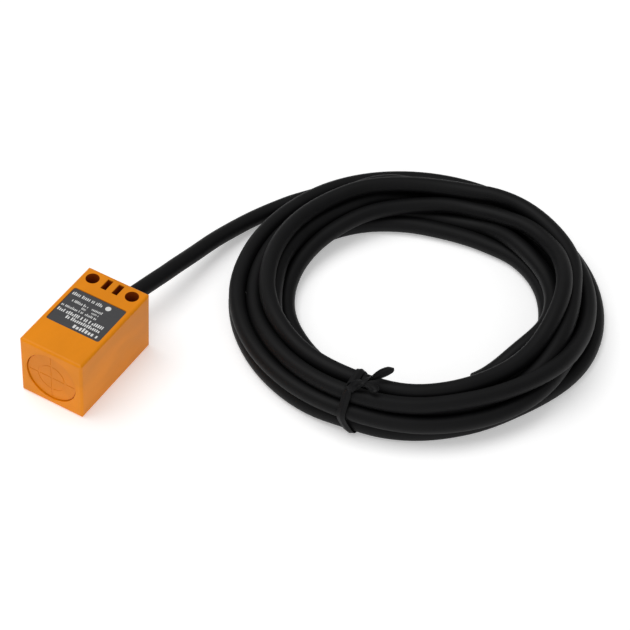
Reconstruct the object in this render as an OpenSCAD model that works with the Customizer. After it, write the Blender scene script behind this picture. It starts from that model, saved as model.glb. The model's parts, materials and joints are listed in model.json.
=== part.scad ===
// Rectangular inductive proximity sensor with a moulded case and a coiled, tied cable.
// The case stands on z = 0 and is centred on x = y = 0. The sensing face looks along -Y and
// the cable leaves along +Y. The nameplate is on top. All sizes are in millimetres.

/* [Body] */
// Width of the case across the sensing face
body_w = 17; // [16:0.5:20]
// Length of the case from the sensing face to the cable face
body_l = 28; // [28:0.5:32]
// Height of the case
body_h = 17; // [16:0.5:20]
// Radius of the outer edges
edge_r = 0.7; // [0.3:0.1:0.8]
// Radius of the round cavity that holds the electronics
cavity_r = 6.4; // [6.3:0.1:6.5]

/* [Mounting] */
// Diameter of the two through holes
hole_d = 3.3; // [3:0.1:3.5]
// Distance between the two hole axes
hole_pitch = 11; // [10.6:0.1:11.2]
// Distance from the hole axes to the cable face
hole_edge = 3; // [2.8:0.1:3.2]
// Width of each moulded pocket between the holes
pocket_w = 1.5; // [1.2:0.1:1.6]
// Length of each pocket
pocket_l = 3.4; // [3:0.1:3.6]
// Distance between the pockets' centres
pocket_pitch = 3.1; // [2.8:0.1:3.2]
// Depth of each pocket
pocket_depth = 5; // [3:0.5:5]

/* [Sensing face] */
// Diameter of the cap's seat
cap_d = 13.6; // [13.4:0.1:13.8]
// Thickness of the cap
cap_t = 1.4; // [1.2:0.1:1.4]
// How far the cap sits below the case's front face
cap_sink = 0.35; // [0.2:0.05:0.4]
// Diameter of the target ring that is engraved in the cap
ring_d = 7.2; // [6:0.2:9]
// Width of the engraved lines
line_w = 0.5; // [0.3:0.05:0.6]
// Depth of the engraved lines
line_depth = 0.07; // [0.05:0.01:0.2]

/* [Nameplate] */
// Width of the nameplate
plate_w = 14.4; // [13:0.1:14.6]
// Length of the nameplate along the case
plate_l = 11.6; // [10:0.1:12]
// Thickness of the nameplate
plate_t = 0.2; // [0.1:0.05:0.25]
// Depth of the recess that it lies in
plate_sink = 0.35; // [0.3:0.05:0.4]
// Distance of its centre behind the case's centre
plate_y = 0.5; // [0:0.1:1]

/* [Cable] */
// Diameter of the cable's sheath
cable_d = 4; // [3.6:0.1:4.2]
// Diameter of each insulated core
core_d = 1.2; // [1.1:0.05:1.25]
// Diameter of each stranded conductor
strand_d = 0.6; // [0.5:0.05:0.7]
// Length of the stripped cores at the free end
core_len = 22; // [15:1:22]
// Length of the tinned tip of each core
tip_len = 5; // [3:0.5:6]

/* [Coil of cable] */
// Outer diameter of the coil
coil_d = 92; // [88:1:96]
// Diameter of the coil's opening
coil_bore_d = 55; // [50:1:58]
// Height of the coil
coil_h = 11; // [10:0.5:12]
// Width of the tie's band
tie_w = 2.2; // [1.5:0.1:3]
// Thickness of the tie's band
tie_t = 0.8; // [0.6:0.1:1]

/* [Electronics] */
// Width of the circuit board
board_w = 10.6; // [10:0.1:11]
// Thickness of the circuit board
board_t = 0.8; // [0.8:0.1:1]
// Outer diameter of the pot core
pot_d = 11.2; // [11:0.1:11.4]
// Diameter of the pot core's middle post
post_d = 3.8; // [3.6:0.1:3.8]

/* [Hidden] */
$fn = 64;
front_y = -body_l / 2;
rear_y = body_l / 2;
mid_z = body_h / 2;
hole_y = rear_y - hole_edge;
cut = 1;                                  // how far a cutting tool runs past a face
cable_z = 8.5;                            // height of the cable's axis where it leaves the case

cap_back_y = front_y + cap_sink + cap_t;
groove_w = 0.2;                           // the open joint round the cap
groove_depth = 0.3;
cavity_end_y = rear_y - 6;
seal_d = 5.2;
seal_y = rear_y - 2.5;
window_d = 1.5;
window_z = 3.6;

pot_front_y = cap_back_y + 0.1;
pot_wall = 0.8;
pot_base = 1;
pot_back_y = pot_front_y + 4.4;
pot_floor_y = pot_back_y - pot_base;
bobbin_wall = 0.35;
bobbin_gap = 0.1;
flange_d = pot_d - 2 * pot_wall - 0.4;
winding_d = flange_d - 0.6;
lead_x = 3.3;
lead_hole_d = 0.9;
lead_d = 0.24;

board_front_y = pot_back_y + 0.4;
board_rear_y = 4;
board_z = cable_z - board_t / 2;
board_top_z = board_z + board_t;
lead_z = board_top_z + lead_d / 2 + 0.03;
lead_end_y = board_front_y + 1;

ic_y = board_front_y + 3.2;
ic_w = 3.9;
ic_l = 4.9;
ic_h = 1.45;
sheath_end_y = 5.4;
core_start_y = 3.4;
strand_start_y = 2.3;
core_z = board_top_z + core_d / 2 + 0.05;
core_pitch = core_d + 0.05;
led_y = 3.4;
led_d = 2;
resin_y = cavity_end_y - 1.6;

plate_z = body_h - plate_sink;

coil_x = 55.7;                            // centre of the coil
coil_y = 60;
bore_x = 56.5;                            // centre of its opening, which lies nearer the front
bore_y = 57.3;
tie_angle = -84;                          // where the tie holds the coil
tie_gap = 0.1;
tie_in = 29;                              // the tie's reach, measured from the coil's centre
tail_len = 11;
tail_d = 1.5;
tail_angle = 64;
end_angle = -16;                          // where the free end starts, in the opening
end_sweep = 14;
end_r = (coil_bore_d - cable_d) / 2 - 0.05;
core_sweep = core_len / end_r * 180 / PI;
tip_sweep = tip_len / end_r * 180 / PI;

orange = [0.93, 0.55, 0.1];
pvc = [0.06, 0.06, 0.065];
brown = [0.36, 0.19, 0.08];
blue = [0.1, 0.3, 0.75];
black = [0.04, 0.04, 0.045];
tin = [0.75, 0.75, 0.76];
copper = [0.75, 0.42, 0.2];

// Route of the cable's axis from the case to the coil
route = [
    [0, 14, 8.5], [0.4, 18, 8.5], [1.1, 22, 8.3], [1.7, 26, 7.9], [2.2, 30, 7.3],
    [2.6, 34, 6.7], [3, 38, 6], [3.4, 42, 5.3], [3.8, 46, 4.7], [4.3, 50, 4.1],
    [5, 54, 3.5], [5.8, 58, 2.9], [6.9, 62, 2.5], [8.3, 66, 2.2], [10, 70, 2],
    [12.1, 74, 2], [14.7, 78, 2], [17.4, 82, 2]
];
tube_sides = 8;

// Centres of the small parts under the board, as [x, y]
resistor_at = [for (i = [0:2], j = [0:1]) [-3.6 + 1.8 * i, -5.6 + 2.2 * j]];
capacitor_at = [for (i = [0:2]) [3.2, -5.8 + 2.3 * i]];
diode_at = [[-2.8, 0.2], [1.2, 0.2]];
cores = [0, 1, 2];                        // brown, black, blue

// A round bar along Y from y0 to y1
module bar_y(x, z, y0, y1, d) {
    translate([x, y0, z]) rotate([-90, 0, 0]) cylinder(h = y1 - y0, d = d);
}

// A round bar along Y that is hollow
module pipe_y(x, z, y0, y1, d, bore) {
    difference() {
        bar_y(x, z, y0, y1, d);
        bar_y(x, z, y0 - cut, y1 + cut, bore);
    }
}

// A block given by the middle of its base
module block(x, y, z, w, l, h) {
    translate([x - w / 2, y - l / 2, z]) cube([w, l, h]);
}

// A rectangle with round corners
module soft_rectangle(a, b, r) {
    square([a - 2 * r, b], center = true);
    square([a, b - 2 * r], center = true);
    for (x = [-1, 1], y = [-1, 1])
        translate([x * (a / 2 - r), y * (b / 2 - r)]) circle(r = r, $fn = 32);
}

// A box whose twelve edges are rounded: three rounded prisms that cross
module soft_box(w, l, h, r) {
    intersection() {
        linear_extrude(h) soft_rectangle(w, l, r);
        translate([0, l / 2, h / 2]) rotate([90, 0, 0]) linear_extrude(l) soft_rectangle(w, h, r);
        translate([-w / 2, 0, h / 2]) rotate([90, 0, 90]) linear_extrude(w) soft_rectangle(l, h, r);
    }
}

// Part of a ring that lies flat: a round section d carried over an angle
module arc_bar(x, y, z, radius, d, from, sweep) {
    translate([x, y, z]) rotate([0, 0, from])
        rotate_extrude(angle = sweep) translate([radius, 0]) circle(d = d, $fn = 24);
}

// ---- case ----

module case_shell() {
    color(orange) difference() {
        soft_box(body_w, body_l, body_h, edge_r);
        bar_y(0, mid_z, front_y - cut, cap_back_y, cap_d);
        bar_y(0, mid_z, cap_back_y - cut, cavity_end_y, 2 * cavity_r);
        bar_y(0, cable_z, cavity_end_y - cut, rear_y + cut, cable_d + 0.1);
        bar_y(0, cable_z, seal_y, rear_y + cut, seal_d);
        bar_y(0, window_z, cavity_end_y - cut, rear_y + cut, window_d + 0.1);
        for (s = [-1, 1]) {
            translate([s * hole_pitch / 2, hole_y, -cut]) cylinder(h = body_h + 2 * cut, d = hole_d);
            block(s * pocket_pitch / 2, hole_y + 0.1, body_h - pocket_depth, pocket_w, pocket_l,
                pocket_depth + cut);
        }
        translate([0, plate_y, plate_z]) linear_extrude(plate_sink + cut)
            soft_rectangle(plate_w + 0.2, plate_l + 0.2, 0.6);
    }
}

module sensing_cap() {
    face_y = front_y + cap_sink;
    color(orange) difference() {
        union() {
            bar_y(0, mid_z, face_y, cap_back_y, cap_d - 2 * groove_w);
            bar_y(0, mid_z, face_y + groove_depth, cap_back_y, cap_d - 0.1);
        }
        pipe_y(0, mid_z, face_y - cut, face_y + line_depth, ring_d + line_w, ring_d - line_w);
        for (turn = [0, 90])
            translate([0, face_y + line_depth, mid_z]) rotate([0, turn, 0])
                translate([-line_w / 2, -cut, -cap_d / 2 + 0.6]) cube([line_w, cut, cap_d - 1.2]);
    }
}

module nameplate() {
    color([0.23, 0.23, 0.24]) translate([0, plate_y, plate_z]) linear_extrude(plate_t)
        soft_rectangle(plate_w, plate_l, 0.5);
}

// ---- sensing coil ----

module ferrite_core() {
    color([0.22, 0.22, 0.24]) difference() {
        union() {
            pipe_y(0, mid_z, pot_front_y, pot_back_y, pot_d, pot_d - 2 * pot_wall);
            bar_y(0, mid_z, pot_floor_y, pot_back_y, pot_d - pot_wall);
            bar_y(0, mid_z, pot_front_y, pot_back_y, post_d);
        }
        for (s = [-1, 1]) bar_y(s * lead_x, lead_z, pot_floor_y - cut, pot_back_y + cut, lead_hole_d);
    }
}

module coil_bobbin() {
    hub = post_d + 2 * bobbin_gap;
    front = pot_front_y + bobbin_gap;
    back = pot_floor_y - bobbin_gap;
    color([0.9, 0.88, 0.8]) difference() {
        union() {
            bar_y(0, mid_z, front, back, hub + 2 * bobbin_wall);
            bar_y(0, mid_z, front, front + bobbin_wall, flange_d);
            bar_y(0, mid_z, back - bobbin_wall, back, flange_d);
        }
        bar_y(0, mid_z, front - cut, back + cut, hub);
        for (s = [-1, 1]) bar_y(s * lead_x, lead_z, back - bobbin_wall - 0.05, back + cut, 0.5);
    }
}

module coil_winding() {
    front = pot_front_y + bobbin_gap + bobbin_wall;
    back = pot_floor_y - bobbin_gap - bobbin_wall;
    hub = post_d + 2 * bobbin_gap + 2 * bobbin_wall;
    color(copper) pipe_y(0, mid_z, front + 0.05, back - 0.05, winding_d, hub + 0.1);
}

module coil_leads() {
    start = pot_floor_y - bobbin_gap - bobbin_wall - 0.05;
    color(copper) for (s = [-1, 1]) bar_y(s * lead_x, lead_z, start, lead_end_y, lead_d);
}

module core_resin() {
    color([0.12, 0.11, 0.1])
        pipe_y(0, mid_z, pot_front_y, pot_back_y - 0.4, 2 * cavity_r - 0.1, pot_d + 0.1);
}

// ---- circuit board ----

module circuit_board() {
    color([0.1, 0.4, 0.2])
        block(0, (board_front_y + board_rear_y) / 2, board_z, board_w, board_rear_y - board_front_y, board_t);
}

module oscillator_ic() {
    color(black) block(0, ic_y, board_top_z + 0.1, ic_w, ic_l, ic_h);
}

module ic_pins() {
    pin_w = 0.4;
    pin_t = 0.2;
    pin_out = 1;
    color(tin) for (s = [-1, 1], i = [0:3]) {
        y = ic_y + (i - 1.5) * 1.27;
        block(s * (ic_w / 2 + 0.2), y, board_top_z + 0.6, 0.4, pin_w, pin_t);
        block(s * (ic_w / 2 + 0.3), y, board_top_z, pin_t, pin_w, 0.8);
        block(s * (ic_w / 2 + 0.2 + pin_out / 2 - 0.1), y, board_top_z, pin_out - 0.2, pin_w, pin_t);
    }
}

module output_transistor() {
    color(black) block(-2.5, 0.4, board_top_z, 4.4, 2.4, 1.5);
}

module tantalum_capacitor() {
    color([0.85, 0.65, 0.15]) block(2.7, 0.4, board_top_z, 3.2, 1.6, 1.6);
}

module chip_resistors() {
    color([0.12, 0.12, 0.13]) for (p = resistor_at) block(p[0], p[1], board_z - 0.5, 0.8, 1.6, 0.5);
}

module chip_capacitors() {
    color([0.7, 0.6, 0.45]) for (p = capacitor_at) block(p[0], p[1], board_z - 0.9, 2, 1.25, 0.9);
}

module protection_diodes() {
    color([0.75, 0.3, 0.2]) for (p = diode_at)
        translate([p[0] - 1.4, p[1], board_z - 0.75]) rotate([0, 90, 0]) cylinder(h = 2.8, d = 1.4);
}

module indicator_led() {
    color([0.8, 0.1, 0.08]) {
        bar_y(0, window_z, led_y, led_y + 1.6, led_d);
        intersection() {
            translate([0, led_y + 1.6, window_z]) sphere(d = led_d);
            bar_y(0, window_z, led_y + 1, led_y + 3, led_d);
        }
    }
}

module led_legs() {
    leg_y = led_y - 0.8;
    color(tin) for (s = [-1, 1]) {
        bar_y(s * 0.5, window_z, leg_y - 0.2, led_y, 0.4);
        translate([s * 0.5, leg_y, window_z]) cylinder(h = board_z - window_z, d = 0.4);
    }
}

module indicator_window() {
    color([0.75, 0.08, 0.05]) bar_y(0, window_z, led_y + 2.8, rear_y - 0.05, window_d);
}

// ---- cable inside the case ----

module board_wire(i, colour) {
    color(colour) pipe_y((i - 1) * core_pitch, core_z, core_start_y, sheath_end_y, core_d, strand_d);
}

module wire_tips() {
    color(tin) for (i = cores) bar_y((i - 1) * core_pitch, core_z, strand_start_y, sheath_end_y, strand_d);
}

module solder_joints() {
    solder_w = 1.1;
    solder_start_y = strand_start_y + 0.1;
    solder_end_y = core_start_y - 0.1;
    color(tin) difference() {
        union() {
            for (i = cores) {
                bar_y((i - 1) * core_pitch, core_z, solder_start_y, solder_end_y, solder_w);
                block((i - 1) * core_pitch, (solder_start_y + solder_end_y) / 2, board_top_z,
                    solder_w, solder_end_y - solder_start_y, core_z - board_top_z);
            }
            for (s = [-1, 1])
                translate([s * lead_x, lead_end_y - 0.3, board_top_z]) cylinder(h = 0.5, d1 = 0.9, d2 = 0.4);
        }
        for (i = cores)
            bar_y((i - 1) * core_pitch, core_z, solder_start_y - cut, solder_end_y + cut, strand_d);
        for (s = [-1, 1]) bar_y(s * lead_x, lead_z, lead_end_y - cut, lead_end_y, lead_d);
    }
}

module cable_entry() {
    color(pvc) bar_y(0, cable_z, sheath_end_y, rear_y, cable_d);
}

module crimp_ring() {
    color(tin) pipe_y(0, cable_z, sheath_end_y + 0.2, sheath_end_y + 0.8, cable_d + 0.9, cable_d);
}

module rear_resin() {
    color([0.12, 0.11, 0.1]) difference() {
        bar_y(0, mid_z, resin_y, cavity_end_y, 2 * cavity_r - 0.1);
        bar_y(0, cable_z, resin_y - cut, cavity_end_y + cut, cable_d);
        bar_y(0, window_z, resin_y - cut, cavity_end_y + cut, window_d + 0.1);
    }
}

module cable_seal() {
    color([0.08, 0.08, 0.085]) pipe_y(0, cable_z, seal_y, rear_y, seal_d, cable_d);
}

// ---- cable outside the case ----

function unit(v) = v / norm(v);
function heading(p, i) = unit(p[min(i + 1, len(p) - 1)] - p[max(i - 1, 0)]);
function ring_point(c, dir, r, a) =
    let (side = unit(cross(dir, [0, 0, 1])), up = cross(side, dir))
    c + r * (cos(a) * side + sin(a) * up);

// One ring of points at each point of the route, joined by quads and closed by two end faces
module swept_tube(p, d, sides) {
    r = d / 2 / cos(180 / sides);
    n = len(p);
    points = [for (i = [0:n - 1], j = [0:sides - 1])
        ring_point(p[i], heading(p, i), r, (j + 0.5) * 360 / sides)];
    walls = [for (i = [0:n - 2], j = [0:sides - 1])
        let (k = (j + 1) % sides)
        [i * sides + j, i * sides + k, (i + 1) * sides + k, (i + 1) * sides + j]];
    first = [[for (j = [sides - 1:-1:0]) j]];
    last = [[for (j = [0:sides - 1]) (n - 1) * sides + j]];
    polyhedron(points = points, faces = concat(walls, first, last), convexity = 4);
}

// Keeps the cable, its coil and the tie where the cable leaves the case
module at_cable_face() {
    translate([0, rear_y - route[0][1], 0]) children();
}

module cable_lead() {
    color(pvc) at_cable_face() swept_tube(route, cable_d, tube_sides);
}

module cable_coil() {
    color(pvc) at_cable_face() difference() {
        translate([coil_x, coil_y, 0]) cylinder(h = coil_h, d = coil_d, $fn = 128);
        translate([bore_x, bore_y, -cut]) cylinder(h = coil_h + 2 * cut, d = coil_bore_d, $fn = 128);
        translate([coil_x, coil_y, -cut]) rotate([0, 0, tie_angle])
            translate([tie_in - cut, -tie_w / 2 - tie_gap, 0])
                cube([coil_d / 2, tie_w + 2 * tie_gap, cut + tie_t + tie_gap]);
    }
}

module cable_end() {
    color(pvc) at_cable_face()
        arc_bar(bore_x, bore_y, cable_d / 2, end_r, cable_d, end_angle - end_sweep, end_sweep);
}

// The three cores lie side by side on the floor beyond the end of the sheath
module end_core(i, colour) {
    color(colour) at_cable_face()
        arc_bar(bore_x, bore_y, core_d / 2, end_r + (i - 1) * core_pitch, core_d,
            end_angle - end_sweep - core_sweep + tip_sweep, core_sweep - tip_sweep);
}

module end_core_tips() {
    color(tin) at_cable_face() for (i = cores)
        arc_bar(bore_x, bore_y, core_d / 2, end_r + (i - 1) * core_pitch, strand_d,
            end_angle - end_sweep - core_sweep, tip_sweep);
}

// ---- tie ----

module tie_loop() {
    out = coil_d / 2 + tie_gap + tie_t;
    high = coil_h + tie_gap + tie_t;
    color(pvc) at_cable_face() translate([coil_x, coil_y, 0]) rotate([0, 0, tie_angle]) difference() {
        translate([tie_in, -tie_w / 2, 0]) cube([out - tie_in, tie_w, high]);
        translate([tie_in + tie_t, -tie_w / 2 - cut, tie_t])
            cube([out - tie_in - 2 * tie_t, tie_w + 2 * cut, high - 2 * tie_t]);
    }
}

module tie_tail() {
    high = coil_h + tie_gap + tie_t;
    color(pvc) at_cable_face() translate([60.2, 21, high + tail_d / 2]) rotate([0, 90, tail_angle]) {
        cylinder(h = tail_len, d = tail_d);
        sphere(d = tail_d);
        translate([0, 0, tail_len]) sphere(d = tail_d);
    }
}

case_shell();
sensing_cap();
nameplate();
ferrite_core();
coil_bobbin();
coil_winding();
coil_leads();
core_resin();
circuit_board();
oscillator_ic();
ic_pins();
output_transistor();
tantalum_capacitor();
chip_resistors();
chip_capacitors();
protection_diodes();
indicator_led();
led_legs();
indicator_window();
board_wire(0, brown);  // board_wire_brown
board_wire(1, black);  // board_wire_black
board_wire(2, blue);  // board_wire_blue
wire_tips();
solder_joints();
cable_entry();
crimp_ring();
rear_resin();
cable_seal();
cable_lead();
cable_coil();
cable_end();
end_core(0, brown);  // end_core_brown
end_core(1, black);  // end_core_black
end_core(2, blue);  // end_core_blue
end_core_tips();
tie_loop();
tie_tail();
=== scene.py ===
# %% [markdown]
# # A rectangular proximity sensor with a tied coil of cable
#
# The object is an orange block of moulded plastic, 28 mm long, with a dark plate on its top,
# two through holes and two metres of black cable, wound up and held by a tie. The frame that
# is loaded first holds every rigid part at its real size. This file makes what the frame
# leaves plain: the cable at its real length, its bare cores, the tie, the printed marks,
# and the finish of every piece. All lengths are in metres, so sizes that are easier to read
# in millimetres are multiplied by MM.

# %% Load the frame
import json
import math

import bmesh
import bpy
import numpy as np
from mathutils import Matrix, Vector

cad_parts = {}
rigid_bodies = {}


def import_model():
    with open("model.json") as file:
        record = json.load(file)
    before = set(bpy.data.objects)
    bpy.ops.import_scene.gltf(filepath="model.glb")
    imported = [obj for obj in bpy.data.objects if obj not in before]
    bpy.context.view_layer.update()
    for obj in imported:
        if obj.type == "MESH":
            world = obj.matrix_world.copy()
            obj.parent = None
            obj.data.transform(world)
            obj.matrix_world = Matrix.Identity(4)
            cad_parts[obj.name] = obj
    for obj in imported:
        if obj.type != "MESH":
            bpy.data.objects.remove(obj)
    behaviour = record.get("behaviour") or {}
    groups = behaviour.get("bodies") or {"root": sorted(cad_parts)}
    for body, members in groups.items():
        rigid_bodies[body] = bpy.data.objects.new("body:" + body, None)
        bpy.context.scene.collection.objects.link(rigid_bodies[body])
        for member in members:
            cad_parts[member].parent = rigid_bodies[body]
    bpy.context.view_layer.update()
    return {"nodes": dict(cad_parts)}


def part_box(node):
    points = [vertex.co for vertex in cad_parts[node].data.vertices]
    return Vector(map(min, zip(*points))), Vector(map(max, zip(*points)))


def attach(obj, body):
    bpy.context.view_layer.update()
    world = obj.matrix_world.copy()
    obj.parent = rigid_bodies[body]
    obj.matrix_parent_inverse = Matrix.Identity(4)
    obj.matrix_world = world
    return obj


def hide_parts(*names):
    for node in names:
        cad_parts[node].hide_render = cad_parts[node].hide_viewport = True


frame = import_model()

MM = 0.001
print("nodes in the frame:", len(frame["nodes"]))

# %% [markdown]
# ## Camera
#
# A small part is best seen through a long lens from well back, so that its edges stay almost
# parallel. The camera could be placed by its own three coordinates, but a point to look at,
# a distance and three angles are easier to picture and to change, so those are used.

# %% Camera
LOOK_AT = np.array([40.85, 35.44, 10]) * MM
DISTANCE = 509.7 * MM
AZIMUTH = math.radians(27.22)
ELEVATION = math.radians(45.17)
ROLL = math.radians(4.36)
LENS = 123.5


def camera_axes(azimuth, elevation, roll):
    """Right, up and back of a camera that circles the object.

    Back is (sin a · cos e, -cos a · cos e, sin e), right is (cos a, sin a, 0), and up is
    back × right. Then right and up are turned by the roll about back."""
    back = np.array([math.sin(azimuth) * math.cos(elevation),
                     -math.cos(azimuth) * math.cos(elevation), math.sin(elevation)])
    right = np.array([math.cos(azimuth), math.sin(azimuth), 0])
    up = np.cross(back, right)
    turned_right = math.cos(roll) * right + math.sin(roll) * up
    turned_up = math.cos(roll) * up - math.sin(roll) * right
    return turned_right, turned_up, back


axes = camera_axes(AZIMUTH, ELEVATION, ROLL)
camera = bpy.data.objects.new("camera", bpy.data.cameras.new("camera"))
camera.data.lens = LENS
turn = Matrix(np.array(axes).T.tolist()).to_4x4()
camera.matrix_world = Matrix.Translation((LOOK_AT + DISTANCE * axes[2]).tolist()) @ turn
bpy.context.scene.collection.objects.link(camera)
bpy.context.scene.camera = camera
print("camera at", [round(x, 4) for x in camera.matrix_world.translation])

# %% [markdown]
# ## From arrays to meshes
#
# Cable, cores and tie are all one idea: an outline carried along a path. Blender's own curve
# objects could do it, but a mesh that is worked out with numpy gives full control of the
# outline, of how it turns on its way, and of the map that the finish follows. Each ring of
# points is joined to the next one by quads, and the first and last ring are closed.

# %% Mesh helpers


def unit(v):
    """Each row of v, made one long."""
    return v / np.linalg.norm(v, axis=-1, keepdims=True)


def run_length(path):
    """How far along the path each point is: the sum of the steps before it."""
    steps = np.linalg.norm(np.diff(path, axis=0), axis=1)
    return np.concatenate([[0], np.cumsum(steps)])


def spaced(path, step):
    """The same path with points at even distances, read off along its run length."""
    run = run_length(path)
    at = np.linspace(0, run[-1], int(run[-1] / step) + 2)
    return np.stack([np.interp(at, run, path[:, k]) for k in range(3)], axis=1)


def level_side(path):
    """A direction across the path that stays level: the path's heading × straight up."""
    return unit(np.cross(unit(np.gradient(path, axis=0)), [0, 0, 1]))


def sweep(path, side, outline):
    """Carries an outline along a path. Point j of ring i is

    path[i] + x[j] · side[i] + y[j] · (side[i] × heading[i]),
    where (x, y) is the outline, the same for all rings or one for each."""
    heading = unit(np.gradient(path, axis=0))
    side = unit(side - (side * heading).sum(1, keepdims=True) * heading)
    lift = np.cross(side, heading)
    outline = np.broadcast_to(outline, (len(path), *outline.shape[-2:]))
    return (path[:, None] + outline[..., :1] * side[:, None] + outline[..., 1:] * lift[:, None])


def tube_mesh(name, rings):
    """A closed mesh from rings of points: quads between rings and a face at each end.

    The map "lay" holds how far round the ring (0 to 1) and how far along (in metres)."""
    count, around = rings.shape[:2]
    j = np.arange(around)
    first = (np.arange(count - 1)[:, None] * around + j).ravel()
    second = (np.arange(count - 1)[:, None] * around + (j + 1) % around).ravel()
    quads = np.stack([first, second, second + around, first + around], axis=1)
    ends = [j[::-1].tolist(), ((count - 1) * around + j).tolist()]
    mesh = bpy.data.meshes.new(name)
    mesh.from_pydata(rings.reshape(-1, 3).tolist(), [], quads.tolist() + ends)
    along = run_length(rings.mean(axis=1))
    u = np.stack([j, j + 1, j + 1, j], axis=1) / around
    u = np.tile(u, (count - 1, 1))
    v = np.repeat(np.stack([along[:-1], along[:-1], along[1:], along[1:]], axis=1), around, axis=0)
    lay = np.zeros((len(mesh.loops), 2), np.float32)
    lay[:u.size] = np.stack([u.ravel(), v.ravel()], axis=1)
    mesh.uv_layers.new(name="lay").data.foreach_set("uv", lay.ravel())
    mesh.polygons.foreach_set("use_smooth", np.arange(len(mesh.polygons)) < len(quads))
    return mesh


def join_grids(name, tubes):
    """Several swept tubes in one mesh, which stay separate shells."""
    made = bmesh.new()
    for rings in tubes:
        mesh = tube_mesh(name, rings)
        made.from_mesh(mesh)
        bpy.data.meshes.remove(mesh)
    mesh = bpy.data.meshes.new(name)
    made.to_mesh(mesh)
    made.free()
    return mesh


def piece(name, mesh, slot, *stands_for):
    """Puts a mesh in the scene as a piece of the object, with its faces turned outwards."""
    tidy = bmesh.new()
    tidy.from_mesh(mesh)
    bmesh.ops.recalc_face_normals(tidy, faces=tidy.faces)
    tidy.to_mesh(mesh)
    tidy.free()
    made = bpy.data.objects.new(name, mesh)
    bpy.context.scene.collection.objects.link(made)
    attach(made, "root")
    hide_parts(*stands_for)
    print(f"{name}: {len(mesh.vertices)} points, {len(mesh.polygons)} faces")
    return made


def circle(diameter, sides):
    """A round outline: half the diameter times (cos, sin) of equal steps of angle."""
    angle = np.arange(sides) * 2 * math.pi / sides
    return diameter / 2 * np.stack([np.cos(angle), np.sin(angle)], axis=1)


# %% [markdown]
# ## Where the cable goes
#
# The sheath is 4 mm thick and leaves the middle of the rear face. It bends down to the
# table, runs along the left of the coil and joins it from the side. The points of that
# stretch are listed, and a smooth curve runs through them: between two points it
# leaves and arrives in the direction from the point before to the point after.

# %% The stretch from the case to the coil
CABLE_D = 4 * MM
ROUTE = np.array([
    [0, 14, 8.5], [0.4, 18, 8.5], [1.1, 22, 8.3], [1.7, 26, 7.9], [2.2, 30, 7.3],
    [2.6, 34, 6.7], [3, 38, 6], [3.4, 42, 5.3], [3.8, 46, 4.7], [4.3, 50, 4.1],
    [5, 54, 3.5], [5.8, 58, 2.9], [6.9, 62, 2.5], [8.3, 66, 2.2], [10, 70, 2],
    [12.1, 74, 2], [14.7, 78, 2], [17.4, 82, 2],
]) * MM


def smooth_through(at, values, want):
    """A smooth curve through values at the places at, read at the places want.

    Each value's slope is the one from its neighbour before to its neighbour after, and the
    cubic between two values keeps both slopes."""
    slope = np.gradient(values, axis=0)
    slope[1:-1] = (values[2:] - values[:-2]) / (at[2:] - at[:-2])[:, None]
    slope[0] = (values[1] - values[0]) / (at[1] - at[0])
    slope[-1] = (values[-1] - values[-2]) / (at[-1] - at[-2])
    i = np.clip(np.searchsorted(at, want, side="right") - 1, 0, len(at) - 2)
    gap = (at[i + 1] - at[i])[:, None]
    t = (want - at[i])[:, None] / gap
    return ((2 * t**3 - 3 * t**2 + 1) * values[i] + (t**3 - 2 * t**2 + t) * gap * slope[i]
            + (3 * t**2 - 2 * t**3) * values[i + 1] + (t**3 - t**2) * gap * slope[i + 1])


route_places = np.arange(len(ROUTE), dtype=float)
lead_path = smooth_through(route_places, ROUTE, np.linspace(0, len(ROUTE) - 1, 6 * len(ROUTE) - 5))
print("lead:", round(run_length(lead_path)[-1], 4), "m")
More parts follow.
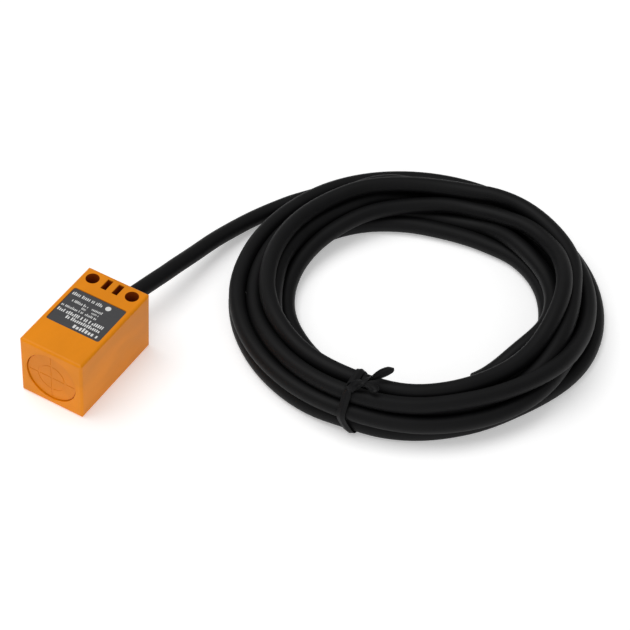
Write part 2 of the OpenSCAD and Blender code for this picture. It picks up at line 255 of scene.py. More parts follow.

# %% [markdown]
# ## How the coil is wound
#
# Hand-wound cable is never a neat spiral. Each turn wanders: it starts on the table, climbs
# over a neighbour, and drops into the next free gap. A physics simulation of two metres of
# stiff cable is slow and gives another coil each time, so the turns are first listed in a
# plan and then made to settle. The plan says, for each turn, how far from the middle and how
# high the cable passes at some angles, clockwise. A turn lies on the table (0), in the second
# layer (1) or in the third (2), and parts of a layer are where it climbs.

# %% The plan of the nine turns
COIL_CENTRE = np.array([55.7, 60]) * MM
START_ANGLE = 150
LAYER = 3.4 * MM
PLAN = [
    [(150, 44, 0), (120, 43.3, 0), (90, 43.3, 0), (60, 43.4, 0), (30, 43.7, 0), (5, 42.8, 0),
     (-25, 40.4, 0), (-45, 41, 0), (-65, 42.6, 0), (-90, 43.9, 0), (-120, 44.2, 0),
     (-160, 43.3, 0), (-190, 41.6, 0)],
    [(150, 39.8, 0), (105, 38.5, 0), (60, 38.9, 0), (20, 39.7, 0), (0, 40.8, 0.5), (-20, 42, 1),
     (-40, 42.8, 1), (-65, 43.7, 1), (-90, 44.2, 1), (-120, 44.2, 1), (-145, 43.8, 1),
     (-165, 42.3, 1), (-190, 40.6, 1)],
    [(150, 40.6, 1), (105, 40.8, 0.9), (60, 41.1, 0.95), (35, 41.2, 1.1), (15, 40.8, 1.4), (0, 39.9, 1.6),
     (-20, 39.8, 1.9), (-45, 39.8, 2), (-65, 41, 2), (-90, 41.8, 1.8), (-115, 41, 1.5),
     (-140, 40.2, 1.1), (-165, 38.6, 1), (-190, 37, 1)],
    [(150, 36.6, 1), (105, 36.8, 1), (60, 37.1, 1), (20, 37.3, 1), (-20, 35, 1), (-55, 35, 1),
     (-75, 35.4, 0.8), (-95, 35.9, 0.3), (-115, 36, 0), (-150, 36, 0), (-180, 33.8, 0)],
    [(150, 30.3, 0), (125, 27.8, 0), (105, 26.9, 0), (80, 28.2, 0), (62, 30.4, 0), (40, 31.9, 0),
     (10, 32, 0), (-30, 32.6, 0), (-60, 34, 0), (-80, 33.2, 0), (-100, 32.2, 0), (-120, 31.9, 0),
     (-140, 31.9, 0), (-160, 31.2, 0.2), (-185, 30, 0.7)],
    [(150, 29.5, 1), (130, 29.9, 1.05), (119, 30.6, 1.1), (104, 32.2, 1.15), (91, 33.6, 1.1),
     (79, 34.9, 1.35), (67, 35.8, 1.8), (55, 36.2, 2.1), (45, 36.4, 2.4), (28, 36, 2.7),
     (10, 35.1, 2.7), (-10, 34.4, 2.3), (-30, 34.7, 2), (-50, 36, 2), (-70, 37.4, 2),
     (-95, 37.9, 2), (-120, 37.4, 2), (-145, 36.6, 2), (-170, 35.4, 2), (-195, 34.9, 2)],
    [(150, 34.6, 2), (120, 34.9, 2), (106, 35.2, 2), (96, 35.9, 2.05), (88, 37.1, 2.15),
     (76, 38.8, 2.05), (60, 39.2, 2), (45, 38.7, 2), (28, 37, 1.8), (10, 36.6, 1.5),
     (-15, 37.8, 1.1), (-60, 39, 1), (-90, 39.4, 1), (-115, 38.3, 1), (-135, 36, 1.1),
     (-150, 34.8, 1), (-165, 34.5, 1), (-190, 33.6, 1)],
    [(150, 33.2, 1), (138, 34.2, 0.8), (125, 34.8, 0.4), (108, 34.7, 0), (60, 35, 0),
     (15, 35.8, 0), (-25, 36.5, 0), (-60, 38.4, 0), (-100, 39.7, 0), (-120, 40, 0),
     (-150, 39.5, 0), (-180, 37, 0)],
    [(150, 34, 0), (130, 32, 0), (105, 30.8, 0), (90, 30.9, 0.15), (80, 30.7, 0.5), (66, 30.5, 1),
     (51, 31.5, 1.1), (40, 32.3, 1.1), (26, 32.6, 1.1), (8, 32, 0.9), (-10, 29.8, 0.3),
     (-22, 28.8, 0), (-34, 28.8, 0)],
]
PER_TURN = 120

plan = np.array([(START_ANGLE - angle + 360 * i, radius, layer)
                 for i, places in enumerate(PLAN) for angle, radius, layer in places])
swept = np.arange(0, plan[-1, 0] + 1, 360 / PER_TURN)
laid = smooth_through(plan[:, 0], plan[:, 1:], swept) * [MM, LAYER] + [0, CABLE_D / 2]
print("turns:", round(swept[-1] / 360, 2))

# %% [markdown]
# ## Letting the turns settle
#
# At each angle the cable's cross-sections are circles that may not overlap. Where two do,
# they push each other apart, and the upper one gives way more than the lower one, which the
# table and its neighbours hold. A stiff cable can't move at one point alone, so every push is
# shared out along the strand with a bell-shaped weight. That keeps the curves long and calm.
# Under the tie the table seems higher by the thickness of its band.

# %% Settle the turns
TIE_ANGLE = -84
TIE_T = 0.8 * MM
ROUNDS = 200
SHARED_OVER = 4
GAIN = 1.2
MEMORY = 0.01
SWELL_ANGLE = 9


def angle_from_tie(swept):
    """Degrees from the tie to the cable after so many swept degrees, from -180 to 180."""
    return (START_ANGLE - swept - TIE_ANGLE + 180) % 360 - 180


def table_height(swept):
    """The table under the cable: flat, with a low swell over the tie, e^-(angle / 9°)²."""
    return TIE_T * np.exp(-(angle_from_tie(swept) / SWELL_ANGLE) ** 2)


def settle(laid, lowest):
    """Moves the turns apart for a fixed number of rounds, and prints the largest overlap left.

    For each pair at one angle, overlap = diameter - distance. Each is pushed along the line
    between them by its share, which is 0.5 + 0.6 · height difference / diameter, kept from
    0.1 to 0.9. The pushes are averaged along the strand with the weights e^-(k²/2σ²)."""
    places = laid.copy()
    turns = math.ceil(len(laid) / PER_TURN)
    stack = np.full((turns * PER_TURN, 2), np.nan)
    reach = 3 * SHARED_OVER
    k = np.arange(-reach, reach + 1)
    bell = np.exp(-0.5 * (k / SHARED_OVER) ** 2)
    bell = bell / bell.sum()
    for _ in range(ROUNDS):
        stack[:len(laid)] = places
        across = stack.reshape(turns, PER_TURN, 2)
        between = across[:, None] - across[None]
        apart = np.sqrt((between ** 2).sum(-1))
        touching = (apart < CABLE_D) & (apart > 0)
        overlap = np.where(touching, CABLE_D - apart, 0)
        share = np.clip(0.5 + 0.6 * between[..., 1] / CABLE_D, 0.1, 0.9)
        strength = np.where(touching, overlap * share / np.where(touching, apart, 1), 0)
        push = np.where(touching[..., None], between, 0) * strength[..., None]
        push = push.sum(axis=1).reshape(-1, 2)[:len(laid)]
        padded = np.pad(push, ((reach, reach), (0, 0)), mode="edge")
        shared = np.stack([np.convolve(padded[:, c], bell, mode="valid") for c in (0, 1)], axis=1)
        places += GAIN * shared + MEMORY * (laid - places)
        places[:, 1] = np.maximum(places[:, 1], lowest)
    print("largest overlap left:", round(overlap.max() / MM, 2), "mm")
    return places


settled = settle(laid, CABLE_D / 2 + table_height(swept))
angle = np.radians(START_ANGLE - swept)
coil_path = np.stack([COIL_CENTRE[0] + settled[:, 0] * np.cos(angle),
                      COIL_CENTRE[1] + settled[:, 0] * np.sin(angle), settled[:, 1]], axis=1)
cable_path = np.concatenate([lead_path[:-1], coil_path])
cable_length = run_length(cable_path)[-1]
coil_top = settled[:, 1].max() + CABLE_D / 2
print("cable:", round(cable_length, 3), "m, coil's height:", round(coil_top / MM, 1), "mm")

# %% [markdown]
# ## The cable's sheath
#
# The sheath is a plain round extrusion, so the outline is a circle with 28 sides, which is
# round enough at this size and keeps two metres of it light. A ring every 3° of each turn
# leaves the chords a hundredth of a millimetre inside the true curve.

# %% Make the sheath
SHEATH_SIDES = 28
sheath_rings = sweep(cable_path, level_side(cable_path), circle(CABLE_D, SHEATH_SIDES))
sheath = piece("cable_sheath", tube_mesh("cable_sheath", sheath_rings),
               "cable_pvc", "cable_lead", "cable_coil", "cable_end")

# %% [markdown]
# ## The bare end
#
# Inside the sheath lie three insulated cores: brown and blue for the supply and black for
# the output. They come out in a bunch, drop to the table and fan out a little. Each core ends
# in a few millimetres of tinned wire. Its strands are too fine to model one by one, so the
# wire's outline has seven lobes that turn as it goes, which is what a twisted bunch looks like.

# %% Make the cores and their tips
CORE_D = 1.2 * MM
CORE_SIDES = 20
STRAND_D = 0.6 * MM
CORE_LEN = 22 * MM
TIP_LEN = 5 * MM
BORE_CENTRE = np.array([56.5, 57.3]) * MM
end_from_centre = cable_path[-1, :2] - BORE_CENTRE
END_R = math.hypot(*end_from_centre)
END_ANGLE = math.atan2(end_from_centre[1], end_from_centre[0])
CORE_PITCH = 1.25 * MM
BUNCH_R = 0.7 * MM
BUNCH_HEIGHT = 1.3 * MM
HIDDEN_LEN = 1.5 * MM
STRANDS = 7
LOBE = 0.12
TWIST_PITCH = 6 * MM


def smooth_step(t):
    """Rises from 0 to 1 between t = 0 and t = 1 with level ends: 3t² - 2t³."""
    t = np.clip(t, 0, 1)
    return t * t * (3 - 2 * t)


def core_path(i):
    """The line of core i (0, 1, 2) from inside the sheath to the end of its wire.

    It follows an arc about the opening's middle. Its distance from the arc grows from a
    tight bunch to a little over its pitch, and its height falls from the bunch to the table."""
    s = np.linspace(-HIDDEN_LEN, CORE_LEN, 60)
    t = s / CORE_LEN
    bunch = np.radians(90 + 120 * (i - 1))
    bunched = 1 - smooth_step(3 * t)
    fan = smooth_step(2 * t) + 0.35 * np.clip(t, 0, 1) ** 2
    sideways = (i - 1) * CORE_PITCH * fan - bunched * BUNCH_R * np.cos(bunch)
    height = CORE_D / 2 + bunched * (BUNCH_HEIGHT + BUNCH_R * np.sin(bunch))
    angle = END_ANGLE - s / END_R
    radius = END_R + sideways
    return np.stack([BORE_CENTRE[0] + radius * np.cos(angle),
                     BORE_CENTRE[1] + radius * np.sin(angle), height], axis=1)


def wire_outline(path):
    """A seven-lobed outline for each ring: radius · (1 + 0.12 cos 7(a - twist)).

    Over the last twelfth of the way the radius closes like a quarter circle."""
    run = run_length(path)
    around = np.arange(4 * STRANDS) * 2 * math.pi / (4 * STRANDS)
    twist = 2 * math.pi * run[:, None] / TWIST_PITCH
    lobes = 1 + LOBE * np.cos(STRANDS * (around - twist))
    last_part = np.clip(run / run[-1] * 12 - 11, 0, 0.99)[:, None]
    radius = STRAND_D / 2 * lobes * np.sqrt(1 - last_part ** 2)
    return np.stack([radius * np.cos(around), radius * np.sin(around)], axis=2)


tips = []
for i, name in enumerate(["brown", "black", "blue"]):
    line = spaced(core_path(i), 0.35 * MM)
    split = run_length(line)[-1] - TIP_LEN
    covered = line[run_length(line) < split]
    bare = line[run_length(line) > split - 1 * MM]
    core_rings = sweep(covered, level_side(covered), circle(CORE_D, CORE_SIDES))
    core_mesh = tube_mesh(f"core_{name}", core_rings)
    piece(f"core_{name}", core_mesh, f"core_{name}", f"end_core_{name}")
    tips.append(sweep(bare, level_side(bare), wire_outline(bare)))
core_tips = piece("core_tips", join_grids("core_tips", tips), "tinned_metal", "end_core_tips")

# %% [markdown]
# ## The tie
#
# The coil is held by a short piece of black plastic strip with a wire in it. It goes once
# round the bundle, and its two ends are twisted together. Round the bundle it lies like a
# tight string: in each direction it touches whichever strand reaches furthest. So the loop
# needs no drawing, it follows from the strands that the settling has left. Low down it leans
# a little to one side, as a strip does that was put on by hand.

# %% The tie's loop and twisted ends
TIE_W = 2.1 * MM
KNOT_R = 43.5 * MM
TAIL_R = 0.6 * MM
TAIL_TURNS = 0.8
TAIL_BEND = np.array([2.4, 3.0, 1.0]) * MM
FIRST_TIP = np.array([6.2, 10.4, 1.0]) * MM
SECOND_TIP = np.array([6.5, 2.6, 0.4]) * MM
TIP_ROUND = 1.1 * MM
SLANT = 2.4 * MM
SLANT_BELOW = 7 * MM


def tight_loop(centres, radius):
    """The line of a tight string round circles: for each direction n, the centre c for
    which c · n is largest, plus radius · n."""
    a = np.linspace(0, 2 * math.pi, 361)
    n = np.stack([np.cos(a), np.sin(a)], axis=1)
    return centres[np.argmax(n @ centres.T, axis=1)] + radius * n


def tie_plane(flat):
    """Turns (distance from the coil's middle, height) into a point in the tie's plane."""
    a = math.radians(TIE_ANGLE)
    return np.stack([COIL_CENTRE[0] + flat[:, 0] * math.cos(a),
                     COIL_CENTRE[1] + flat[:, 0] * math.sin(a), flat[:, 1]], axis=1)


def strip_outline(width, thickness):
    """A flat strip with a wire in its middle: half thickness · (0.45 + 0.75 · e^-(x / 0.4)²),
    with x from -1 to 1 across half the width, and round at its edges."""
    a = np.arange(24) * 2 * math.pi / 24
    x = np.cos(a)
    y = np.sign(np.sin(a)) * np.abs(np.sin(a)) ** 0.6 * (0.45 + 0.75 * np.exp(-(x / 0.4) ** 2))
    return np.stack([width / 2 * x, thickness / 2 * y], axis=1)


at_tie = np.abs(angle_from_tie(swept)) < 180 / PER_TURN + 0.01
loop = spaced(tie_plane(tight_loop(settled[at_tie], CABLE_D / 2 + TIE_T / 2)), 0.5 * MM)[:-1]
loop_r = np.hypot(loop[:, 0] - COIL_CENTRE[0], loop[:, 1] - COIL_CENTRE[1])
on_top = loop[:, 2] > loop[:, 2].mean()
knot_at = np.argmin(np.where(on_top, np.abs(loop_r - KNOT_R), 1))
loop = np.roll(loop, -knot_at, axis=0)
loop = np.concatenate([loop, loop[:1]])
along_coil = np.array([-math.sin(math.radians(TIE_ANGLE)), math.cos(math.radians(TIE_ANGLE)), 0])
loop = loop + SLANT * (1 - smooth_step(loop[:, 2:] / SLANT_BELOW)) * along_coil
loop_side = np.tile(along_coil, (len(loop), 1))
print("knot's height:", round(loop[0, 2] / MM, 1), "mm")


def tail(start_turn, tip):
    """One end of the tie, from the knot to its tip.

    Its middle line is the curve 2s(1 - s) · bend + s² · tip. The strip winds round that line
    at a distance that falls from TAIL_R to nothing, and keeps facing away from it. The two
    ends start half a turn apart."""
    s = np.linspace(0, 1, 40)[:, None]
    middle = loop[0] + [0, 0, TIE_T / 2 + TAIL_R] + 2 * s * (1 - s) * TAIL_BEND + s ** 2 * tip
    axis = unit(np.gradient(middle, axis=0))
    level = unit(np.cross(axis, [0, 0, 1]))
    turn = 2 * math.pi * (start_turn + TAIL_TURNS * s)
    out = np.cos(turn) * level + np.sin(turn) * np.cross(level, axis)
    return middle + out * TAIL_R * (1 - smooth_step(2 * s)), np.cross(axis, out)


first_line, first_side = tail(0.0, FIRST_TIP)
second_line, second_side = tail(0.5, SECOND_TIP)
tie_path = np.concatenate([first_line[::-1], loop, second_line])
tie_side = np.concatenate([first_side[::-1], loop_side, second_side])
CALM_OVER = 3
weights = np.hanning(2 * CALM_OVER + 3)[1:-1]
weights = weights / weights.sum()


def calm(values):
    """A moving average along the rows, which takes the corners out at the knot."""
    padded = np.pad(values, ((CALM_OVER, CALM_OVER), (0, 0)), mode="edge")
    return np.stack([np.convolve(padded[:, c], weights, mode="valid") for c in range(3)], axis=1)


def tip_scale(run):
    """How much of its width and thickness the strip has, for each ring.

    The width closes like a quarter circle over TIP_ROUND at each tip, and the thickness
    falls less, to two fifths and a little more."""
    from_tip = np.minimum(run, run[-1] - run)
    narrow = np.sqrt(1 - np.clip(1 - from_tip / TIP_ROUND, 0, 0.97) ** 2)
    return np.stack([narrow, 0.4 + 0.6 * narrow], axis=1)[:, None]


calm_path = calm(tie_path)
outlines = strip_outline(TIE_W, TIE_T / 1.2) * tip_scale(run_length(calm_path))
tie = piece("tie_strip", tube_mesh("tie_strip", sweep(calm_path, calm(tie_side), outlines)),
            "tie_pvc", "tie_loop", "tie_tail")

# %% [markdown]
# ## Writing shader sums in Python
#
# A node tree for a material soon becomes a long list of nodes and links. Two small classes
# keep it readable. Number wraps one output that carries a number, and its + - * add Math
# nodes. Finish is one material with a Principled shader, and has one method that adds any
# other node: its settings are set first, and then its inputs get values or links.

# %% Shader classes


class Number:
    """A number that changes over the surface, so that sums can be written as Python."""

    def __init__(self, finish, socket):
        self.finish = finish
        self.socket = socket

    def math(self, operation, *others):
        """A Math node with these inputs, as a new number."""
        node = self.finish.node("ShaderNodeMath", {"operation": operation}, dict(enumerate(others)))
        return Number(self.finish, node.outputs[0])

    def __add__(self, other):
        return self.math("ADD", self, other)

    def __radd__(self, other):
        return self.math("ADD", other, self)

    def __sub__(self, other):
        return self.math("SUBTRACT", self, other)

    def __rsub__(self, other):
        return self.math("SUBTRACT", other, self)

    def __mul__(self, other):
        return self.math("MULTIPLY", self, other)

    def __rmul__(self, other):
        return self.math("MULTIPLY", other, self)

    def step(self, low, high):
        """0 below low, 1 above high, and a smooth rise between them."""
        node = self.finish.node("ShaderNodeMapRange", {"interpolation_type": "SMOOTHSTEP"},
                                {0: self, 1: low, 2: high})
        return Number(self.finish, node.outputs[0])


class Finish:
    """One material: a Principled shader, and the nodes that feed it."""

    def __init__(self, name, colour, roughness, **constants):
        self.material = bpy.data.materials.new(name)
        self.material.use_nodes = True
        self.tree = self.material.node_tree
        self.shader = self.tree.nodes["Principled BSDF"]
        self.feed("Base Color", colour)
        self.feed("Roughness", roughness)
        for socket, value in constants.items():
            self.feed(socket.replace("_", " "), value)

    def feed(self, socket, value, node=None):
        """Gives an input a value, or links it to what makes its value."""
        target = (node or self.shader).inputs[socket]
        value = getattr(value, "socket", value)
        if isinstance(value, bpy.types.NodeSocket):
            self.tree.links.new(value, target)
        else:
            target.default_value = (*value, 1) if target.type == "RGBA" and len(value) == 3 else value

    def node(self, kind, settings=None, inputs=None):
        """Adds a node, gives it its settings, and then its inputs."""
        node = self.tree.nodes.new(kind)
        for name, value in (settings or {}).items():
            setattr(node, name, value)
        for socket, value in (inputs or {}).items():
            self.feed(socket, value, node)
        return node

    def place(self, stretch=(1, 1, 1)):
        """The point on the object, in metres, with each axis stretched."""
        here = self.node("ShaderNodeTexCoord").outputs["Object"]
        return self.node("ShaderNodeMapping", {}, {"Vector": here, "Scale": stretch}).outputs[0]

    def parts(self, point):
        """The three numbers of a point."""
        split = self.node("ShaderNodeSeparateXYZ", {}, {0: point})
        return [Number(self, socket) for socket in split.outputs]

    def round_place(self, across, along):
        """A point for patterns on a cord that shows no seam: from how far round g and how
        far along s, it is (across · cos 2πg, across · sin 2πg, along · s)."""
        lay = self.node("ShaderNodeTexCoord").outputs["UV"]
        around, run, _ = self.parts(lay)
        turn = around * (2 * math.pi)
        inputs = {0: turn.math("COSINE", turn) * across, 1: turn.math("SINE", turn) * across,
                  2: run * along}
        return self.node("ShaderNodeCombineXYZ", {}, inputs).outputs[0]

    def noise(self, size, detail=2, place=None):
        """Soft random patches about so many metres across, from 0 to 1."""
        node = self.node("ShaderNodeTexNoise", {}, {
            "Vector": place or self.place(), "Scale": 1 / size, "Detail": detail})
        return Number(self, node.outputs[0])

    def mix(self, amount, first, second):
        """The first colour where amount is 0, and the second where it is 1."""
        inputs = {0: amount, 6: first, 7: second}
        return self.node("ShaderNodeMix", {"data_type": "RGBA"}, inputs).outputs[2]

    def bump(self, height, distance):
        """Tilts the surface as a relief of that height in metres would."""
        inputs = {"Height": height, "Distance": distance}
        self.feed("Normal", self.node("ShaderNodeBump", {}, inputs).outputs[0])


def chart(red, green, blue):
    """A colour from a chart's 0 to 255 numbers, in the shader's linear ones."""
    part = np.array([red, green, blue]) / 255
    return tuple(np.where(part <= 0.04045, part / 12.92, ((part + 0.055) / 1.055) ** 2.4).tolist())


def dress(finish, *names):
    """Gives frame nodes or new pieces this finish."""
    for name in names:
        found = bpy.data.objects[name]
        found.data.materials.clear()
        found.data.materials.append(finish.material)
    print(f"{finish.material.name}: {', '.join(names)}")


# %% [markdown]
# ## Black cable sheath
#
# The sheath is soft PVC with a satin skin. It comes out of the extruder with very fine lines
# along it, and handling leaves it slightly dull in patches. The lines follow the cable's own
# map, so that they run along it all the way round the coil. Their pattern is made on a circle,
# where the end of one way round meets its start.

# %% Cable finish


def sheath_finish(name, colour, roughness):
    """Satin PVC with drawn lines along it and faint dull patches."""
    finish = Finish(name, colour, roughness, Specular_IOR_Level=0.15)
    lines = finish.noise(1, 3, finish.round_place(9, 12))
    patches = finish.noise(7 * MM, 3)
    grain = finish.noise(0.25 * MM, 2)
    finish.feed("Base Color", finish.mix(patches.step(0.35, 0.75), colour, tuple(1.3 * c for c in colour)))
    finish.feed("Roughness", roughness + 0.12 * (patches - 0.5) + 0.08 * (lines - 0.5))
    finish.bump(lines * 0.6 + grain * 0.4, 0.03 * MM)
    return finish


dress(sheath_finish("cable_pvc", chart(12, 12, 13), 0.55), "cable_sheath", "cable_entry")
dress(sheath_finish("tie_pvc", chart(14, 14, 15), 0.5), "tie_strip")

# %% [markdown]
# ## Orange case
#
# The case is moulded ABS in a warm yellow-orange. Its skin has a very fine spark-eroded grain
# that breaks up reflections, and slow changes of tone where the melt flowed. Light that goes
# into the plastic comes out redder, which shows in the holes and pockets, and little light
# reaches into them. Sub-surface light would do the reddening, but it slows the render, so a
# mask paints shade on their walls: a darker, redder colour.

# %% Case finishes


def moulded(name, colour, roughness, grain=0.12, depth=0.012):
    """Moulded plastic: fine grain in the relief and slow changes of tone."""
    finish = Finish(name, colour, roughness, Specular_IOR_Level=0.2)
    flow = finish.noise(9 * MM, 3, finish.place((1, 0.35, 1)))
    skin = finish.noise(grain * MM, 3)
    deeper = tuple(0.86 * c for c in colour)
    finish.feed("Base Color", finish.mix(flow.step(0.3, 0.7), deeper, colour))
    finish.feed("Roughness", roughness + 0.1 * (skin - 0.5) + 0.06 * (flow - 0.5))
    finish.bump(skin, depth * MM)
    return finish


CASE_ORANGE = chart(241, 143, 4)
# Painted shade: a darker, redder orange for the walls of the holes and pockets, where little light
# reaches.
PAINTED_SHADE_ORANGE = chart(150, 62, 4)
HOLE_X = 5.5 * MM
HOLE_Y = 11 * MM
HOLE_R = 1.65 * MM
POCKET_X = 2.35 * MM
POCKET_Y = 1.75 * MM
POCKET_SHIFT = 0.1 * MM
POCKET_LOW = 9 * MM
POCKET_TOP = 16.9 * MM
SOFT_EDGE = 0.05 * MM


def painted_shade_in_cuts(finish):
    """Where shade is painted: 1 on the walls of the two holes and the two pockets, and 0 elsewhere.

    A hole is where the distance from its axis is less than its radius. The pockets are
    where |x|, |y - middle| and z are all within their own limits."""
    x, y, z = finish.parts(finish.place())
    across = x.math("ABSOLUTE", x) - HOLE_X
    along = y - HOLE_Y
    off_axis = across.math("SQRT", across * across + along * along)
    in_hole = 1 - off_axis.step(HOLE_R, HOLE_R + SOFT_EDGE)
    off_row = along.math("ABSOLUTE", along - POCKET_SHIFT)
    beside = across.math("ABSOLUTE", across + HOLE_X)
    in_plan = (1 - beside.step(POCKET_X, POCKET_X + SOFT_EDGE)) \
        * (1 - off_row.step(POCKET_Y, POCKET_Y + SOFT_EDGE))
    in_height = z.step(POCKET_LOW, POCKET_LOW + 1 * MM) \
        * (1 - z.step(POCKET_TOP - 0.4 * MM, POCKET_TOP))
    return in_hole.math("MAXIMUM", in_hole, in_plan * in_height)


case_finish = moulded("orange_abs", CASE_ORANGE, 0.45)
outer_colour = case_finish.shader.inputs["Base Color"].links[0].from_socket
# Paints shade on the walls of the holes and pockets by mixing in the darker orange there.
case_colour_with_painted_shade = case_finish.mix(painted_shade_in_cuts(case_finish), outer_colour, PAINTED_SHADE_ORANGE)
case_finish.feed("Base Color", case_colour_with_painted_shade)
dress(case_finish, "case_shell")
dress(moulded("cap_abs", chart(236, 138, 12), 0.42, 0.08, 0.006), "sensing_cap")

# %% [markdown]
# ## Nameplate
#
# The plate is a thin printed foil, dark grey and half matt, with white print. What a real
# plate says is the maker's business, so the print here is only its rhythm: rows of small
# bars, in the sizes and places that such a plate has. The bars are a separate thin layer, as
# ink is, so that the print is in the mesh and not only in the material.

# %% The printed marks
INK_T = 0.02 * MM
ROWS = [
    (4.3, 5.3, -6.7, 1.6, 0.8), (2.3, 3.1, -5.4, -0.7, 0.8), (2.3, 3.1, 0.1, 3, 0.8),
    (1.3, 2, -2.1, -0.7, 0.7), (1.3, 2, 0.7, 3, 0.7), (0.1, 0.9, -6.8, -0.8, 0.8),
    (0.1, 0.9, -0.3, 3, 0.8), (-1.6, -0.6, -6.8, 6, 1), (-2.9, -1.9, -3.6, 6, 1),
    (-4.6, -3.3, -0.5, 6.4, 1.3),
]
DOT_PLACE = np.array([3.1, 4.8]) * MM
DOT_R = 0.7 * MM
DOT_SIDES = 48
rng = np.random.default_rng(7)
plate_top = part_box("nameplate")[1].z


def row_bars(bottom, top, left, right, weight):
    """One row of print as boxes (x0, y0, x1, y1): bars about a third of the row's height
    wide, of three heights, with a wider gap after some of them."""
    tall = top - bottom
    count = int((right - left) / (0.3 * tall)) + 1
    wide = np.full(count, 0.3 * tall * weight) * rng.uniform(0.8, 1.2, count)
    gap = np.where(rng.random(count) < 0.18, 0.55, 0.22) * tall
    start = left + np.concatenate([[0], np.cumsum(wide + gap)[:-1]])
    height = tall * rng.choice([0.65, 0.8, 1], count)
    kept = start + wide < right
    return np.stack([start, np.full(count, bottom), start + wide, bottom + height], axis=1)[kept]


bars = np.concatenate([row_bars(*row) for row in ROWS]) * MM
corner = np.array([[0, 1], [2, 1], [2, 3], [0, 3]])
dot = DOT_PLACE + circle(2 * DOT_R, DOT_SIDES)


def printed(flat):
    """Outlines in the plane of the plate's top, each given the ink's thickness."""
    low = np.concatenate([flat, np.full((*flat.shape[:2], 1), plate_top)], axis=2)
    return np.stack([low, low + [0, 0, INK_T]], axis=1)


ink_shells = [*printed(bars[:, corner]), *printed(dot[None])]
piece("nameplate_print", join_grids("nameplate_print", ink_shells), "nameplate_foil")

# %% [markdown]
# ## Foil and ink
#
# The foil has very fine lines across it, which hardly change its colour but spread its gloss.
# The ink is screen-printed, so it has a soft speckle from the screen's mesh. Both are so thin
# that a relief would not show, apart from the foil's lines.

# %% Plate and ink finishes
plate = Finish("nameplate_foil", chart(60, 60, 62), 0.42, Specular_IOR_Level=0.5)
brushed = plate.noise(0.35 * MM, 3, plate.place((0.12, 1, 1)))
plate.feed("Base Color", plate.mix(brushed, chart(56, 56, 58), chart(66, 66, 68)))
plate.feed("Roughness", 0.4 + 0.12 * (brushed - 0.5))
plate.bump(brushed, 0.004 * MM)
dress(plate, "nameplate")

ink_white = Finish("print_ink", chart(228, 228, 226), 0.5)
screen = ink_white.noise(0.1 * MM, 2)
ink_white.feed("Base Color", ink_white.mix(screen, chart(214, 214, 212), chart(236, 236, 235)))
dress(ink_white, "nameplate_print")

# %% [markdown]
# ## Pieces inside the case
#
# None of these shows until the case is opened, but each has the finish of the real thing:
# grey sintered ferrite, a cream bobbin, enamelled copper wire, black potting resin, green
# laminate and the small components on it. One function gives the mottled look of cast or
# sintered stuff, and one gives metal with faint drawn lines.

# %% Finishes of the inner pieces


def mottled(name, colour, roughness, size, contrast, **constants):
    """Cast, sintered or coated stuff: patches of a darker tone and a slightly uneven skin."""
    finish = Finish(name, colour, roughness, **constants)
    patches = finish.noise(size * MM, 4)
    darker = tuple((1 - contrast) * c for c in colour)
    finish.feed("Base Color", finish.mix(patches.step(0.35, 0.65), darker, colour))
    finish.feed("Roughness", roughness + 0.15 * (patches - 0.5))
    finish.bump(patches, 0.01 * MM)
    return finish


def metal(name, colour, roughness):
    """Metal with faint lines along Y, the way most of these small parts lie."""
    finish = Finish(name, colour, roughness, Metallic=1.0)
    drawn = finish.noise(0.15 * MM, 3, finish.place((1, 0.08, 1)))
    finish.feed("Base Color", finish.mix(drawn, tuple(0.8 * c for c in colour), colour))
    finish.feed("Roughness", roughness + 0.2 * (drawn - 0.5))
    finish.bump(drawn, 0.004 * MM)
    return finish


dress(mottled("ferrite", chart(74, 74, 80), 0.6, 0.3, 0.3), "ferrite_core")
dress(moulded("bobbin_plastic", chart(232, 226, 205), 0.5), "coil_bobbin")
dress(metal("enamelled_copper", chart(184, 98, 52), 0.28), "coil_winding", "coil_leads")
dress(mottled("potting_resin", chart(40, 38, 36), 0.3, 2, 0.25), "core_resin", "rear_resin")
dress(mottled("board_laminate", chart(28, 98, 54), 0.35, 0.8, 0.2), "circuit_board")
dress(moulded("chip_black", chart(32, 32, 34), 0.55, 0.06), "oscillator_ic", "output_transistor")
dress(metal("tinned_metal", chart(206, 206, 208), 0.25),
      "ic_pins", "led_legs", "wire_tips", "solder_joints", "core_tips")
dress(mottled("tantalum_yellow", chart(220, 170, 48), 0.4, 0.5, 0.12), "tantalum_capacitor")
dress(mottled("resistor_film", chart(34, 34, 38), 0.35, 0.3, 0.2), "chip_resistors")
dress(mottled("capacitor_ceramic", chart(178, 152, 112), 0.5, 0.3, 0.15), "chip_capacitors")
dress(mottled("diode_glass", chart(176, 84, 60), 0.12, 0.6, 0.2), "protection_diodes")
dress(mottled("led_red", chart(190, 22, 16), 0.15, 0.8, 0.15), "indicator_led")
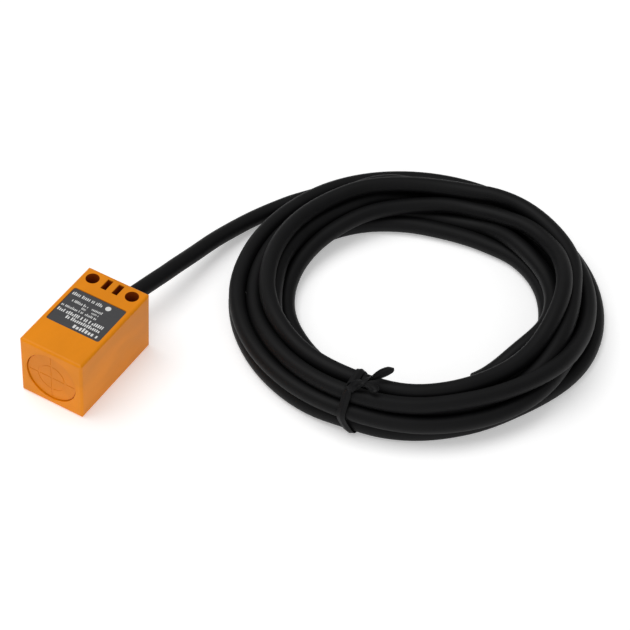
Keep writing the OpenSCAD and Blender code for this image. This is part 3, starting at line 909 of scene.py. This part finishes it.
dress(mottled("window_red", chart(170, 20, 14), 0.2, 0.8, 0.15), "indicator_window")
dress(metal("crimp_steel", chart(190, 190, 194), 0.3), "crimp_ring")
dress(mottled("seal_rubber", chart(30, 30, 31), 0.6, 0.5, 0.2), "cable_seal")
dress(sheath_finish("core_brown", chart(98, 58, 34), 0.4), "core_brown", "board_wire_brown")
dress(sheath_finish("core_black", chart(30, 30, 32), 0.4), "core_black", "board_wire_black")
dress(sheath_finish("core_blue", chart(36, 84, 170), 0.4), "core_blue", "board_wire_blue")

# %% [markdown]
# ## Table and light
#
# The object lies on a plain white table. One wide soft light hangs above it and gives the
# cable its broad grey sheen, a weaker one from the front fills the near faces, and the rest
# comes evenly from the surroundings.

# %% Table, lights and surroundings
TABLE_SIZE = 4
table_mesh = bpy.data.meshes.new("table")
half = TABLE_SIZE / 2
corners = [(-half, -half, 0), (half, -half, 0), (half, half, 0), (-half, half, 0)]
table_mesh.from_pydata(corners, [], [(0, 1, 2, 3)])
table = bpy.data.objects.new("table", table_mesh)
bpy.context.scene.collection.objects.link(table)
dress(Finish("table_white", (0.9, 0.9, 0.9), 0.8,
             Emission_Color=(1, 1, 1), Emission_Strength=0.32), "table")


def soft_light(name, place, size, watts):
    """A square light that faces the object."""
    lamp = bpy.data.objects.new(name, bpy.data.lights.new(name, "AREA"))
    lamp.data.size = size
    lamp.data.energy = watts
    lamp.location = place
    towards = Vector(LOOK_AT.tolist()) - lamp.location
    lamp.rotation_euler = towards.to_track_quat("-Z", "Y").to_euler()
    bpy.context.scene.collection.objects.link(lamp)
    print(f"{name}: {size} m square, {watts} W")


soft_light("light_above", (-0.35, -0.1, 1.0), 0.9, 7)
soft_light("light_front", (0.7, -0.8, 0.6), 0.8, 2)
world = bpy.data.worlds.new("surroundings")
world.use_nodes = True
background = world.node_tree.nodes["Background"]
background.inputs["Color"].default_value = (1, 1, 1, 1)
background.inputs["Strength"].default_value = 0.35
bpy.context.scene.world = world
bpy.context.scene.view_settings.view_transform = "Standard"
